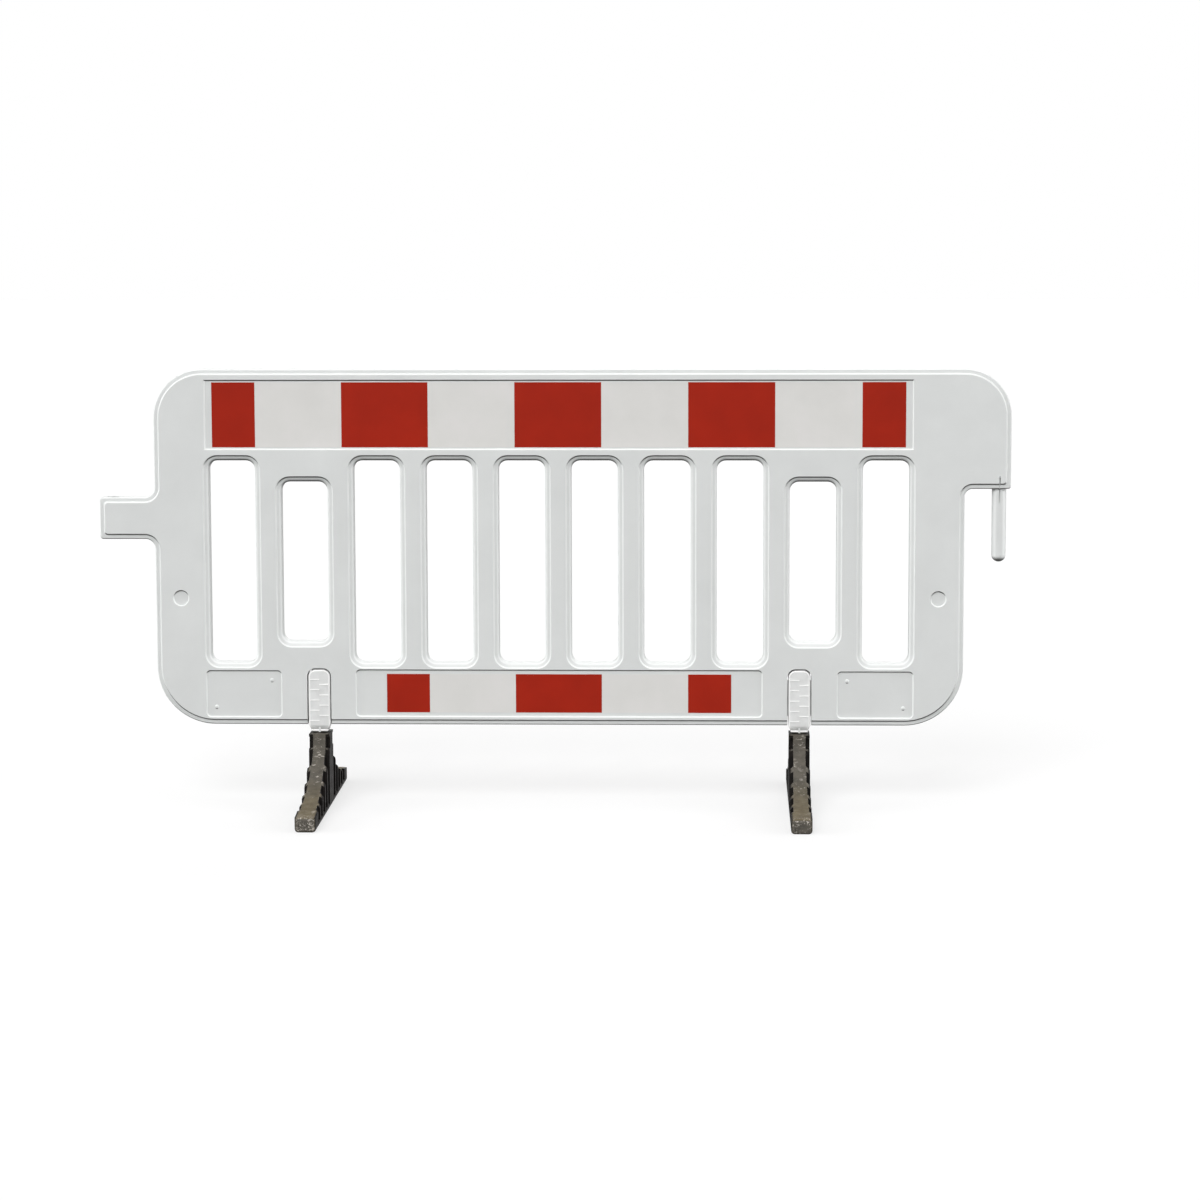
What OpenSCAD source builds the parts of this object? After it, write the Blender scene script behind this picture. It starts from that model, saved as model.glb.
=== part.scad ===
// Plastic barrier fence: a hollow white panel with ten upright slots and
// red and white warning films, carried by two swivelling recycled plastic feet.
// Millimetres, +Z up. +X runs along the panel towards the coupling pin and
// -Y is the front. The origin lies on the ground, under the middle of the
// overall box.

/* [Panel] */
// Length of the panel without its tongue and overhang
panel_l = 1872; // [1860:1:1960]
// Height of the panel
panel_h = 827; // [816:1:900]
// Thickness of the panel over both faces
panel_t = 54; // [52:1:70]
// Wall thickness of both half shells
wall = 3; // [2:0.5:4]
// Corner radius at both lower corners
low_corner_r = 136; // [60:1:150]
// Corner radius at the upper corner over the tongue
tongue_corner_r = 113; // [40:1:125]
// Corner radius at the upper corner over the coupling pin
pin_corner_r = 107; // [40:1:125]

/* [Rim] */
// Width of the stepped rim around the panel and around each slot
rim_w = 13; // [8:0.5:16]
// How far the rim lies behind the face
rim_step = 5; // [3:0.5:6]

/* [Slots] */
// Number of upright slots
slot_count = 10; // [4:2:10]
// Distance from one slot to the next
slot_pitch = 168; // [160:1:172]
// Clear width of a slot
slot_w = 108; // [80:1:112]
// Corner radius of a slot's clear opening
slot_r = 21; // [10:1:30]
// From the panel's lower edge to a tall slot's lower end
slot_rise = 145; // [144:1:180]
// Clear height of a tall slot
slot_h = 471; // [300:1:474]
// How much the slots over the feet are shorter at each end
short_trim = 49; // [46:1:80]
// Place of the short slots, counted from either end
short_place = 2; // [2:1:2]

/* [Warning films] */
// Depth of the fields that hold the films and the labels
recess_d = 4; // [2:0.5:4]
// Thickness of a film
film_t = 0.5; // [0.3:0.1:1]
// Length of one full red or white field
field_l = 200; // [150:1:200]
// Number of field lengths on the upper film
upper_fields = 8; // [4:2:8]
// Height of the upper film
upper_film_h = 150; // [100:1:150]
// Bare strip between the upper film's end and its field's end
upper_side = 15; // [5:1:30]
// Bare strip over and under the upper film
upper_gap = 3; // [1:0.5:3]
// From the panel's upper edge to the upper film's field
upper_drop = 27; // [25:0.5:28]
// Number of field lengths on the lower film
lower_fields = 4; // [2:2:4]
// Height of the lower film
lower_film_h = 90; // [60:1:92]
// Bare field beside each end of the lower film
lower_side = 70; // [10:1:80]
// Bare strip over and under the lower film
lower_gap = 8; // [2:0.5:8]
// From the panel's lower edge to the lower film's field
lower_rise = 21; // [18:0.5:21.5]

/* [Labels and dimples] */
// Length of a label field
label_l = 172; // [80:1:176]
// Height of a label field
label_h = 105; // [60:1:105]
// From the panel's middle to a label field's middle
label_x = 733; // [730:1:736]
// From the panel's lower edge to a label field
label_rise = 19.5; // [18:0.5:21]
// Radius of the domed studs in a label field
stud_r = 4; // [2:0.5:6]
// Height of the studs
stud_h = 1.5; // [0.5:0.1:2]
// From a stud's middle to the label field's nearest edges
stud_in = 21; // [10:1:30]
// Radius of the round dimples
dimple_r = 16; // [8:0.5:20]
// From the panel's end to a dimple's middle
dimple_in = 59; // [50:1:62]
// From the panel's lower edge to a dimple's middle
dimple_rise = 296; // [200:1:380]

/* [Coupling] */
// Length of the tongue beyond the panel's end
tongue_l = 128; // [118:1:160]
// Height of the tongue
tongue_h = 97; // [70:1:140]
// From the panel's upper edge to the tongue's middle
tongue_drop = 345; // [300:1:420]
// Radius of the fillets where the tongue meets the panel
tongue_fillet_r = 23; // [8:1:30]
// From the tongue's end to the eye's middle
eye_in = 32; // [30:1:40]
// Radius of the eye's bore
eye_r = 17.5; // [17.1:0.1:18]
// Least wall of the square sleeve in the eye
sleeve_wall = 2.5; // [1.5:0.1:2.5]
// Length of the overhang beyond the panel's end
overhang_l = 106; // [100:1:160]
// From the panel's upper edge to the overhang's underside
overhang_h = 276; // [220:1:320]
// Radius of the fillet under the overhang
overhang_fillet_r = 18; // [6:1:24]
// From the overhang's end to the coupling pin's middle
pin_in = 26; // [24:1:40]
// Radius of the coupling pin
pin_r = 16.5; // [15:0.1:16.8]
// Length of the coupling pin below the overhang
pin_l = 170; // [120:1:200]
// From the overhang's underside to the pin's shoulder
pin_gap = 1; // [0.5:0.5:3]
// Radius of the pin's stem
stem_r = 14; // [10:0.5:14.5]
// Length of the pin's stem inside the overhang
stem_l = 62; // [45:1:90]
// Radius of the dowel that holds the stem
dowel_r = 2; // [1.5:0.1:3]
// From the overhang's underside to the dowel
dowel_rise = 28; // [20:1:36]
// Clearance around the sleeve, the stem and the dowel
fit_clear = 0.05; // [0.02:0.01:0.2]
// Width of the key mark on the overhang and the pin
mark_w = 2.5; // [1.5:0.1:4]
// Depth of the key mark
mark_d = 1.2; // [0.5:0.1:1.5]
// Length of the key mark on the pin
pin_mark_l = 33; // [15:1:60]

/* [Foot columns] */
// From the panel's middle to each foot's pivot
pivot_x = 558; // [545:1:575]
// Width of a column
column_w = 51; // [46:1:56]
// Gap between a column and the panel around it
column_gap = 2.5; // [1:0.5:3]
// Height of a column inside the panel
column_rise = 129; // [116:1:130]
// Length of a column below the panel
column_drop = 18; // [12:1:40]
// Radius of a column's upper corners
column_top_r = 16.5; // [8:0.5:20]
// Height of the lip at a column's lower end
column_lip_h = 4; // [1:0.5:6]
// Width of the bevel over that lip
column_bevel = 5; // [2:0.5:6]
// Width of the keys at a column's sides
key_w = 8.5; // [6:0.5:12]
// Thickness of the keys
key_t = 14; // [8:0.5:20]
// From the panel's lower edge to the keys
key_rise = 20; // [14:1:30]
// Length of the keys
key_l = 82; // [50:1:84]
// Clearance around the keys
key_clear = 0.2; // [0.1:0.05:0.3]
// From the panel's lower edge to the lowest groove on a column
rung_rise = 7; // [2:1:12]
// Height of the half-width grooves on a column
rung_h = 3; // [1:0.5:4]
// Depth of the half-width grooves
rung_d = 1; // [0.5:0.1:1.5]
// Number of grooves on a column, on both halves together
rung_count = 9; // [3:1:9]
// Distance from one groove to the next, which is on the other half
rung_pitch = 12; // [8:0.5:12]

/* [Pivot bolts] */
// Radius of a bolt's shank
bolt_r = 8; // [6:0.5:9]
// Running clearance of a foot on its bolt
bolt_clear = 0.08; // [0.02:0.01:0.1]
// Clearance of a bolt in its column
column_bolt_clear = 0.3; // [0.1:0.1:1]
// Clearance of a bolt in its nut and washers
thread_clear = 0.05; // [0.02:0.01:0.1]
// Width across flats of bolt head and nut
hex_af = 24; // [18:0.5:27]
// Height of a bolt's head
head_h = 10; // [6:0.5:12]
// Height of a nut
nut_h = 16; // [10:0.5:18]
// From a column's lower end to its nut
nut_rise = 60; // [40:1:90]
// Length of a bolt beyond its nut
bolt_end = 4; // [1:0.5:12]
// Clearance around a nut in its socket
nut_clear = 0.2; // [0.1:0.05:0.5]
// Radius of the washer under a bolt's head
washer_r = 17; // [15:0.5:18]
// Thickness of the washer under a bolt's head
washer_t = 3; // [1:0.5:4]
// Radius of the disc between a column and its foot
disc_r = 19; // [14:0.5:20]
// Thickness of the disc between a column and its foot
disc_t = 3; // [1:0.5:6]

/* [Feet] */
// Length of a foot
foot_l = 700; // [600:1:760]
// Width of a foot
foot_w = 48; // [46:1:60]
// Height of a foot
foot_h = 175; // [160:1:200]
// Depth of a foot's neck from front to back
neck_d = 76; // [60:1:90]
// Height at which the neck starts to flare out
flare_h = 141; // [110:1:150]
// Height that the flare levels out to
flare_low = 23; // [18:1:30]
// Distance over which the flare falls off
flare_decay = 128; // [90:1:150]
// Bevel at the upper edge of a foot's ends
toe_bevel = 8; // [3:0.5:12]
// Length of a pocket in a foot's side
pocket_l = 39; // [20:1:42]
// Distance from one pocket to the next
pocket_pitch = 52; // [44:1:60]
// From the neck to the middle of the first pocket
pocket_first = 22; // [22:0.5:30]
// Number of pockets along each flare
pocket_count = 5; // [1:1:5]
// Depth of the pockets in a foot's sides
pocket_d = 9; // [3:0.5:10]
// Height of the base under the pockets
base_h = 12; // [6:1:16]
// Height of the notches at the neck's corners
notch_h = 28; // [15:1:32]
// Depth of those notches from the neck's front and rear
notch_d = 12; // [3:0.5:16]
// From a foot's top to those notches
notch_drop = 6; // [3:0.5:10]
// Depth of the socket for the bolt's head
socket_d = 24; // [18:1:34]
// Clearance around the washer in its socket
socket_clear = 3; // [1:0.5:4]

/* [Hidden] */
$fn = 64;
EPS = 1;
HALF_T = panel_t / 2;
RIM_T = HALF_T - rim_step;
PANEL_Z = foot_h + disc_t + column_drop;
PANEL_TOP = PANEL_Z + panel_h;
PANEL_X = (tongue_l - overhang_l) / 2;
END_X = panel_l / 2;
TONGUE_Z = PANEL_TOP - tongue_drop;
UNDER_Z = PANEL_TOP - overhang_h;
EYE_X = -END_X - tongue_l + eye_in;
PIN_X = END_X + overhang_l - pin_in;
SLEEVE_W = 2 * (eye_r + sleeve_wall);
BOSS_WALL = 4;
EDGE_R = 6;
LABEL_R = 8;
COLUMN_Z = PANEL_Z - column_drop;
COLUMN_H = column_drop + column_rise;
BAY_W = column_w + 2 * column_gap;
BAY_TOP = column_rise + column_gap;
BAY_R = column_top_r + column_gap;
KEY_Z = PANEL_Z + key_rise;
NUT_Z = COLUMN_Z + nut_rise;
DISC_Z = foot_h;
WASHER_Z = socket_d - washer_t;
HEAD_Z = WASHER_Z - head_h;
BOLT_TOP = NUT_Z + nut_h + bolt_end;
UPPER_FIELD_Z = PANEL_TOP - upper_drop - 2 * upper_gap - upper_film_h;
LOWER_FIELD_Z = PANEL_Z + lower_rise;
FLOOR_D = HALF_T - recess_d;
WHITE = "#e4e5e3";
FILM_WHITE = "#d9d6d0";
FILM_RED = "#a3291b";
NATURAL = "#eef0ee";
STEEL = "#a9acae";
DARK = "#55504a";

// Flat shapes, drawn in the panel's own plane

// A rectangle between two corners, with a radius at each corner:
// lower left, lower right, upper right, upper left
module plate(x0, z0, x1, z1, r) {
    places = [[x0, z0, 0], [x1, z0, 90], [x1, z1, 180], [x0, z1, 270]];
    difference() {
        translate([x0, z0]) square([x1 - x0, z1 - z0]);
        for (i = [0 : 3])
            if (r[i] > 0.2)
                translate([places[i][0], places[i][1]]) rotate(places[i][2]) spandrel(r[i]);
    }
}

// What lies between a square corner at the origin and an arc of radius r:
// a rounded corner leaves it out, and a fillet adds it
module spandrel(r) {
    difference() {
        translate([-EPS, -EPS]) square(r + EPS);
        translate([r, r]) circle(r);
    }
}

// The panel's outline with tongue and overhang, drawn in from its edge
module outline(inset) {
    low_r = low_corner_r - inset;
    root_r = tongue_fillet_r + inset;
    under_r = overhang_fillet_r + inset;
    end_r = EDGE_R - inset;
    top = PANEL_TOP - inset;
    plate(-END_X + inset, PANEL_Z + inset, END_X - inset, top, [low_r, low_r, 0, tongue_corner_r - inset]);
    plate(0, UNDER_Z + inset, END_X + overhang_l - inset, top, [0, end_r, pin_corner_r - inset, 0]);
    plate(-END_X - tongue_l + inset, TONGUE_Z - tongue_h / 2 + inset, -END_X + dimple_in,
        TONGUE_Z + tongue_h / 2 - inset, [end_r, 0, 0, end_r]);
    translate([-END_X + inset, TONGUE_Z + tongue_h / 2 - inset]) mirror([1, 0]) spandrel(root_r);
    translate([-END_X + inset, TONGUE_Z - tongue_h / 2 + inset]) rotate(180) spandrel(root_r);
    translate([END_X - inset, UNDER_Z + inset]) mirror([0, 1]) spandrel(under_r);
}

// All slots, widened all round
module slots(widen) {
    for (i = [1 : slot_count]) {
        x = (i - (slot_count + 1) / 2) * slot_pitch;
        trim = i == short_place || i == slot_count + 1 - short_place ? short_trim : 0;
        r = slot_r + widen;
        bottom = PANEL_Z + slot_rise + trim - widen;
        top = PANEL_Z + slot_rise + slot_h - trim + widen;
        plate(x - slot_w / 2 - widen, bottom, x + slot_w / 2 + widen, top, [r, r, r, r]);
    }
}

// The panel's face drawn in from every edge, also around the slots
module face(inset) {
    difference() {
        outline(inset);
        slots(inset);
    }
}

// The bays that take the columns, widened at both sides and over the top
module bays(widen) {
    half = BAY_W / 2 + widen;
    r = BAY_R + widen;
    for (side = [-1, 1])
        translate([side * pivot_x, 0])
            plate(-half, PANEL_Z - EPS, half, PANEL_Z + BAY_TOP + widen, [0, 0, r, r]);
}

// The channels that hold the columns' keys
module key_channels(widen) {
    half = column_w / 2 + key_w + key_clear + widen;
    for (side = [-1, 1])
        translate([side * pivot_x - half, KEY_Z - key_clear - widen])
            square([2 * half, key_l + key_clear + 2 * widen]);
}

// The fields that hold the films and the labels
module fields(widen) {
    upper_half = upper_fields * field_l / 2 + upper_side + widen;
    lower_half = lower_fields * field_l / 2 + lower_side + widen;
    upper_h = upper_film_h + 2 * upper_gap;
    lower_h = lower_film_h + 2 * lower_gap;
    r = LABEL_R + widen;
    low = LOWER_FIELD_Z - widen;
    plate(-upper_half, UPPER_FIELD_Z - widen, upper_half, UPPER_FIELD_Z + upper_h + widen, [0, 0, 0, 0]);
    plate(-lower_half, low, lower_half, low + lower_h + 2 * widen, [r, r, r, r]);
    for (side = [-1, 1])
        translate([side * label_x, PANEL_Z + label_rise])
            plate(-label_l / 2 - widen, -widen, label_l / 2 + widen, label_h + widen, [r, r, r, r]);
}

// The round dimples near the panel's ends
module dimples(widen) {
    for (side = [-1, 1])
        translate([side * (END_X - dimple_in), PANEL_Z + dimple_rise]) circle(dimple_r + widen);
}

// What stays solid around the eye's sleeve and around the pin's stem
module bosses() {
    eye_half = SLEEVE_W / 2 + BOSS_WALL;
    pin_half = pin_r + BOSS_WALL;
    translate([EYE_X - eye_half, TONGUE_Z - tongue_h]) square([2 * eye_half, 2 * tongue_h]);
    translate([PIN_X - pin_half, UNDER_Z]) square([2 * pin_half, stem_l + BOSS_WALL]);
}

// Solids

// Extrudes a flat shape of the panel from one depth in front of its
// middle plane to another
module between(d0, d1) {
    rotate([90, 0, 0]) translate([0, 0, d0]) linear_extrude(d1 - d0) children();
}

// One half of the panel: a tray with a stepped rim, open at the middle plane
module half_shell() {
    difference() {
        union() {
            between(0, RIM_T) face(0);
            between(RIM_T - EPS, HALF_T) face(rim_w);
        }
        between(-EPS, RIM_T - wall) difference() {
            face(wall);
            bays(wall);
            key_channels(wall);
            bosses();
        }
        between(RIM_T - wall - EPS, HALF_T - wall) difference() {
            face(rim_w + wall);
            bays(wall);
            key_channels(wall);
            bosses();
            fields(wall);
            dimples(wall);
        }
        between(-EPS, HALF_T + EPS) bays(0);
        between(-EPS, key_t / 2 + key_clear) key_channels(0);
        between(FLOOR_D, HALF_T + EPS) fields(0);
        between(FLOOR_D, HALF_T + EPS) dimples(0);
        between(HALF_T - mark_d, HALF_T + EPS) face_mark();
        translate([EYE_X, 0, TONGUE_Z - tongue_h]) sleeve_block(fit_clear, 2 * tongue_h);
        translate([PIN_X, 0, UNDER_Z - EPS]) cylinder(r = stem_r + fit_clear, h = stem_l + EPS);
        dowel_shape(dowel_r + fit_clear, HALF_T + EPS);
    }
    label_studs();
}

// The upright key mark on the overhang, from its underside to the dowel
module face_mark() {
    translate([PIN_X - mark_w / 2, UNDER_Z]) square([mark_w, dowel_rise]);
}

// Two domed studs at opposite corners of each label field
module label_studs() {
    cap_r = (stud_r * stud_r + stud_h * stud_h) / (2 * stud_h);
    for (side = [-1, 1])
        for (corner = [-1, 1]) {
            x = side * label_x - side * corner * (label_l / 2 - stud_in);
            z = PANEL_Z + label_rise + label_h / 2 + corner * (label_h / 2 - stud_in);
            translate([x, -FLOOR_D - stud_h, z]) intersection() {
                translate([0, cap_r, 0]) sphere(cap_r);
                rotate([-90, 0, 0]) cylinder(r = stud_r, h = stud_h + wall / 2);
            }
        }
}

// Moves a piece from the panel's middle to the origin of the whole object
module placed() {
    translate([PANEL_X, 0, 0]) children();
}

// Mirrors the front's pieces to the rear
module on_face(rear) {
    mirror([0, rear ? 1 : 0, 0]) children();
}

// The fields of one colour on one film; every second field is red
module film(count, low_z, height, rear, red) {
    placed() on_face(rear) between(FLOOR_D, FLOOR_D + film_t)
        for (i = [0 : count]) {
            x0 = max(0, i - 0.5) * field_l - count * field_l / 2;
            x1 = min(count, i + 0.5) * field_l - count * field_l / 2;
            if ((i % 2 == 0) == red)
                translate([x0, low_z]) square([x1 - x0, height]);
        }
}

module upper_film(rear, red) {
    color(red ? FILM_RED : FILM_WHITE)
        film(upper_fields, UPPER_FIELD_Z + upper_gap, upper_film_h, rear, red);
}

module lower_film(rear, red) {
    color(red ? FILM_RED : FILM_WHITE)
        film(lower_fields, LOWER_FIELD_Z + lower_gap, lower_film_h, rear, red);
}

module shell_front() {
    color(WHITE) placed() half_shell();
}

module shell_rear() {
    color(WHITE) placed() on_face(true) half_shell();
}

// The pin that drops into the next barrier's eye
module coupling_pin() {
    color(WHITE) placed() difference() {
        translate([PIN_X, 0, UNDER_Z]) union() {
            translate([0, 0, -pin_l + pin_r]) cylinder(r = pin_r, h = pin_l - pin_r - pin_gap);
            translate([0, 0, -pin_l + pin_r]) sphere(pin_r);
            translate([0, 0, -pin_gap - EPS]) cylinder(r = stem_r, h = pin_gap + EPS + stem_l);
        }
        dowel_shape(dowel_r + fit_clear, panel_t);
        for (front = [-1, 1])
            translate([PIN_X, front * pin_r, UNDER_Z - pin_mark_l])
                cube_centred(mark_w, 2 * mark_d, pin_mark_l);
    }
}

// A block centred in plan that stands on its own base
module cube_centred(l, d, h) {
    translate([-l / 2, -d / 2, 0]) cube([l, d, h]);
}

// A rod across the panel at the dowel's place
module dowel_shape(r, half_l) {
    translate([PIN_X, 0, UNDER_Z + dowel_rise]) rotate([90, 0, 0])
        translate([0, 0, -half_l]) cylinder(r = r, h = 2 * half_l);
}

module pin_dowel() {
    color(STEEL) placed() dowel_shape(dowel_r, HALF_T - mark_d);
}

// The outside of the eye's sleeve, square so that it can't turn
module sleeve_block(widen, h) {
    cube_centred(SLEEVE_W + 2 * widen, SLEEVE_W + 2 * widen, h);
}

// The sleeve in the tongue's eye, clamped between both half shells
module eye_sleeve() {
    color(WHITE) placed() translate([EYE_X, 0, TONGUE_Z - tongue_h / 2]) difference() {
        sleeve_block(0, tongue_h);
        translate([0, 0, -EPS]) cylinder(r = eye_r, h = tongue_h + 2 * EPS);
    }
}

// Puts a piece on one foot's swivel axis
module at_pivot(side) {
    placed() translate([side * pivot_x, 0, 0]) children();
}

// The ribbed column that joins a foot to the panel
module column(side) {
    half = column_w / 2;
    lip_top = COLUMN_Z + column_lip_h;
    bevel_top = lip_top + 2 * column_bevel;
    color(NATURAL) at_pivot(side) difference() {
        union() {
            between(-HALF_T, HALF_T)
                plate(-half, bevel_top, half, COLUMN_Z + COLUMN_H, [0, 0, column_top_r, column_top_r]);
            between(-HALF_T, HALF_T) polygon([
                [-half + column_bevel, COLUMN_Z], [half - column_bevel, COLUMN_Z],
                [half - column_bevel, lip_top], [half, bevel_top],
                [-half, bevel_top], [-half + column_bevel, lip_top]
            ]);
            translate([0, 0, KEY_Z]) cube_centred(column_w + 2 * key_w, key_t, key_l);
        }
        for (i = [1 : rung_count]) {
            left = i % 2 == 1;
            z = PANEL_Z + rung_rise + (i - 1) * rung_pitch;
            for (front = [-1, 1])
                translate([left ? -half / 2 : half / 2, front * HALF_T, z])
                    cube_centred(half, 2 * rung_d, rung_h);
        }
        translate([0, 0, COLUMN_Z - EPS]) cylinder(r = bolt_r + column_bolt_clear, h = COLUMN_H);
        translate([0, 0, NUT_Z]) hex_rod(hex_af + 2 * nut_clear, COLUMN_H);
    }
}

// A hexagonal rod of a width across its flats
module hex_rod(across, h) {
    cylinder(r = across / sqrt(3), h = h, $fn = 6);
}

module pivot_nut(side) {
    color(STEEL) at_pivot(side) translate([0, 0, NUT_Z]) difference() {
        hex_rod(hex_af, nut_h);
        translate([0, 0, -EPS]) cylinder(r = bolt_r + thread_clear, h = nut_h + 2 * EPS);
    }
}

module pivot_bolt(side) {
    color(STEEL) at_pivot(side) union() {
        translate([0, 0, HEAD_Z]) hex_rod(hex_af, head_h);
        translate([0, 0, HEAD_Z + head_h - EPS]) cylinder(r = bolt_r, h = BOLT_TOP - HEAD_Z - head_h + EPS);
    }
}

// A flat ring around the bolt
module ring(r, t) {
    difference() {
        cylinder(r = r, h = t);
        translate([0, 0, -EPS]) cylinder(r = bolt_r + thread_clear, h = t + 2 * EPS);
    }
}

module head_washer(side) {
    color(STEEL) at_pivot(side) translate([0, 0, WASHER_Z]) ring(washer_r, washer_t);
}

module swivel_disc(side) {
    color(DARK) at_pivot(side) translate([0, 0, DISC_Z]) ring(disc_r, disc_t);
}

// Height of a foot's flare at a distance from its axis
function flare_z(y) = flare_low + (flare_h - flare_low) * exp(-(y - neck_d / 2) / flare_decay);

// A foot seen from the side
module foot_side() {
    half = foot_l / 2;
    steps = 14;
    flare_end = half - toe_bevel;
    flare = [for (i = [0 : steps])
        let (y = neck_d / 2 + (flare_end - neck_d / 2) * i / steps) [y, flare_z(y)]];
    right = concat([[neck_d / 2, foot_h]], flare, [[half, flare_z(flare_end) - toe_bevel], [half, 0]]);
    left = [for (i = [len(right) - 1 : -1 : 0]) [-right[i][0], right[i][1]]];
    polygon(concat(right, left));
}

// Blocks that open the pockets in both sides of one flare, and the notches
// at the neck's corners above it
module pockets() {
    for (side = [-1, 1]) {
        for (k = [0 : pocket_count - 1])
            translate([side * foot_w / 2, neck_d / 2 + pocket_first + k * pocket_pitch, base_h])
                cube_centred(2 * pocket_d, pocket_l, foot_h);
        translate([side * foot_w / 2, neck_d / 2, foot_h - notch_drop - notch_h])
            cube_centred(2 * pocket_d, 2 * notch_d, notch_h);
    }
}

module foot(side) {
    color(DARK) at_pivot(side) difference() {
        rotate([90, 0, 90]) translate([0, 0, -foot_w / 2]) linear_extrude(foot_w) foot_side();
        pockets();
        mirror([0, 1, 0]) pockets();
        translate([0, 0, -EPS]) cylinder(r = bolt_r + bolt_clear, h = foot_h + 2 * EPS);
        translate([0, 0, -EPS]) cylinder(r = washer_r + socket_clear, h = socket_d + EPS);
    }
}

shell_front();
shell_rear();
upper_film(false, false);  // upper_film_front_white
upper_film(false, true);  // upper_film_front_red
upper_film(true, false);  // upper_film_rear_white
upper_film(true, true);  // upper_film_rear_red
lower_film(false, false);  // lower_film_front_white
lower_film(false, true);  // lower_film_front_red
lower_film(true, false);  // lower_film_rear_white
lower_film(true, true);  // lower_film_rear_red
coupling_pin();
pin_dowel();
eye_sleeve();
column(-1);  // column_left
column(1);  // column_right
pivot_nut(-1);  // pivot_nut_left
pivot_nut(1);  // pivot_nut_right
pivot_bolt(-1);  // pivot_bolt_left
pivot_bolt(1);  // pivot_bolt_right
head_washer(-1);  // head_washer_left
head_washer(1);  // head_washer_right
swivel_disc(-1);  // swivel_disc_left
swivel_disc(1);  // swivel_disc_right
foot(-1);  // foot_left
foot(1);  // foot_right
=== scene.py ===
import math
import bmesh
import bpy
from mathutils import Matrix, Vector


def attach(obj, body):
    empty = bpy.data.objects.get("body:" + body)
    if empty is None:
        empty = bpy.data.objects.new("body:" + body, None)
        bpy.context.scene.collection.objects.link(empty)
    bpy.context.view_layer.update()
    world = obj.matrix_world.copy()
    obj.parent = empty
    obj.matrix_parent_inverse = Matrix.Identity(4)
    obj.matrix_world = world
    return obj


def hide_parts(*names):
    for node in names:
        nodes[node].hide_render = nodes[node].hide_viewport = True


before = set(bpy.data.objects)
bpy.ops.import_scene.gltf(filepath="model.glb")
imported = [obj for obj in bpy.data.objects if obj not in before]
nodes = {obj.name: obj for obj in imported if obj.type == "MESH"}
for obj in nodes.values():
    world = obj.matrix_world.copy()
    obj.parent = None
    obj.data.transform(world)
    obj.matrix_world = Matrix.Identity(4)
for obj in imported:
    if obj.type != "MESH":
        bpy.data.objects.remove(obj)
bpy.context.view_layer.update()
bpy.ops.object.select_all(action="DESELECT")
print("frame loaded")


def only(piece):
    bpy.ops.object.select_all(action="DESELECT")
    piece.select_set(True)
    bpy.context.view_layer.objects.active = piece
    return piece


def block(name, low, high):  # a cube between two corners, with its place in its mesh
    bpy.ops.object.select_all(action="DESELECT")
    middle = [(a + b) / 2 for a, b in zip(low, high)]
    bpy.ops.mesh.primitive_cube_add(size=1, location=middle)
    piece = bpy.context.object
    piece.name = name
    piece.scale = [b - a for a, b in zip(low, high)]
    bpy.ops.object.transform_apply(location=True, rotation=True, scale=True)
    return piece


def rod(name, radius, low, high, sides=48, turn=(0, 0, 0)):  # a cylinder between two ends on one axis
    bpy.ops.object.select_all(action="DESELECT")
    start, end = Vector(low), Vector(high)
    bpy.ops.mesh.primitive_cylinder_add(vertices=sides, radius=radius, depth=(end - start).length,
                                        location=(start + end) / 2, rotation=turn)
    piece = bpy.context.object
    piece.name = name
    bpy.ops.object.transform_apply(location=True, rotation=True, scale=True)
    return piece


def editing(piece, mode="FACE"):
    only(piece)
    bpy.ops.object.mode_set(mode="EDIT")
    bpy.ops.mesh.select_mode(type=mode)
    bpy.ops.mesh.select_all(action="DESELECT")


def done():
    bpy.ops.object.mode_set(mode="OBJECT")


def pickFaces(piece, test):  # test reads a face's middle and normal
    bpy.ops.mesh.select_mode(type="FACE")
    bpy.ops.mesh.select_all(action="DESELECT")
    shape = bmesh.from_edit_mesh(piece.data)
    for face in shape.faces:
        if test(face.calc_center_median(), face.normal):
            face.select_set(True)
    bmesh.update_edit_mesh(piece.data)


def pickEdges(piece, test):  # test reads an edge's two ends
    bpy.ops.mesh.select_mode(type="EDGE")
    bpy.ops.mesh.select_all(action="DESELECT")
    shape = bmesh.from_edit_mesh(piece.data)
    for edge in shape.edges:
        if test(edge.verts[0].co, edge.verts[1].co):
            edge.select_set(True)
    bmesh.update_edit_mesh(piece.data)


def pickPoints(piece, test):
    bpy.ops.mesh.select_mode(type="VERT")
    bpy.ops.mesh.select_all(action="DESELECT")
    shape = bmesh.from_edit_mesh(piece.data)
    for point in shape.verts:
        if test(point.co):
            point.select_set(True)
    shape.select_flush_mode()
    bmesh.update_edit_mesh(piece.data)


def near(a, b, gap=2e-5):
    return abs(a - b) < gap


outside = 0.0285  # how far from the middle plane the cutters start, clear of the panel's face
past = 0.001  # how far a cutter runs on past what it cuts
sideways = (math.pi / 2, 0, 0)  # turns a rod to run from front to back


def cornerEdge(x, z):  # the edge that runs front to back through a place in the panel's plane
    return lambda a, b: near(a.x, x) and near(b.x, x) and near(a.z, z) and near(b.z, z)


def roundEdges(piece, test, radius, steps):
    pickEdges(piece, test)
    bpy.ops.mesh.bevel(offset_type="OFFSET", offset=radius, segments=steps, profile=0.5, affect="EDGES",
                       clamp_overlap=False)


def push(vector):
    bpy.ops.mesh.extrude_region_move(TRANSFORM_OT_translate={"value": vector})


def stepIn(profile):  # insets the picked face along a profile of distance in from the edge and height
    for (s0, h0), (s1, h1) in zip(profile, profile[1:]):
        bpy.ops.mesh.inset(thickness=max(s1 - s0, 0.0), depth=h1 - h0, use_even_offset=True, use_boundary=True)


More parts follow.
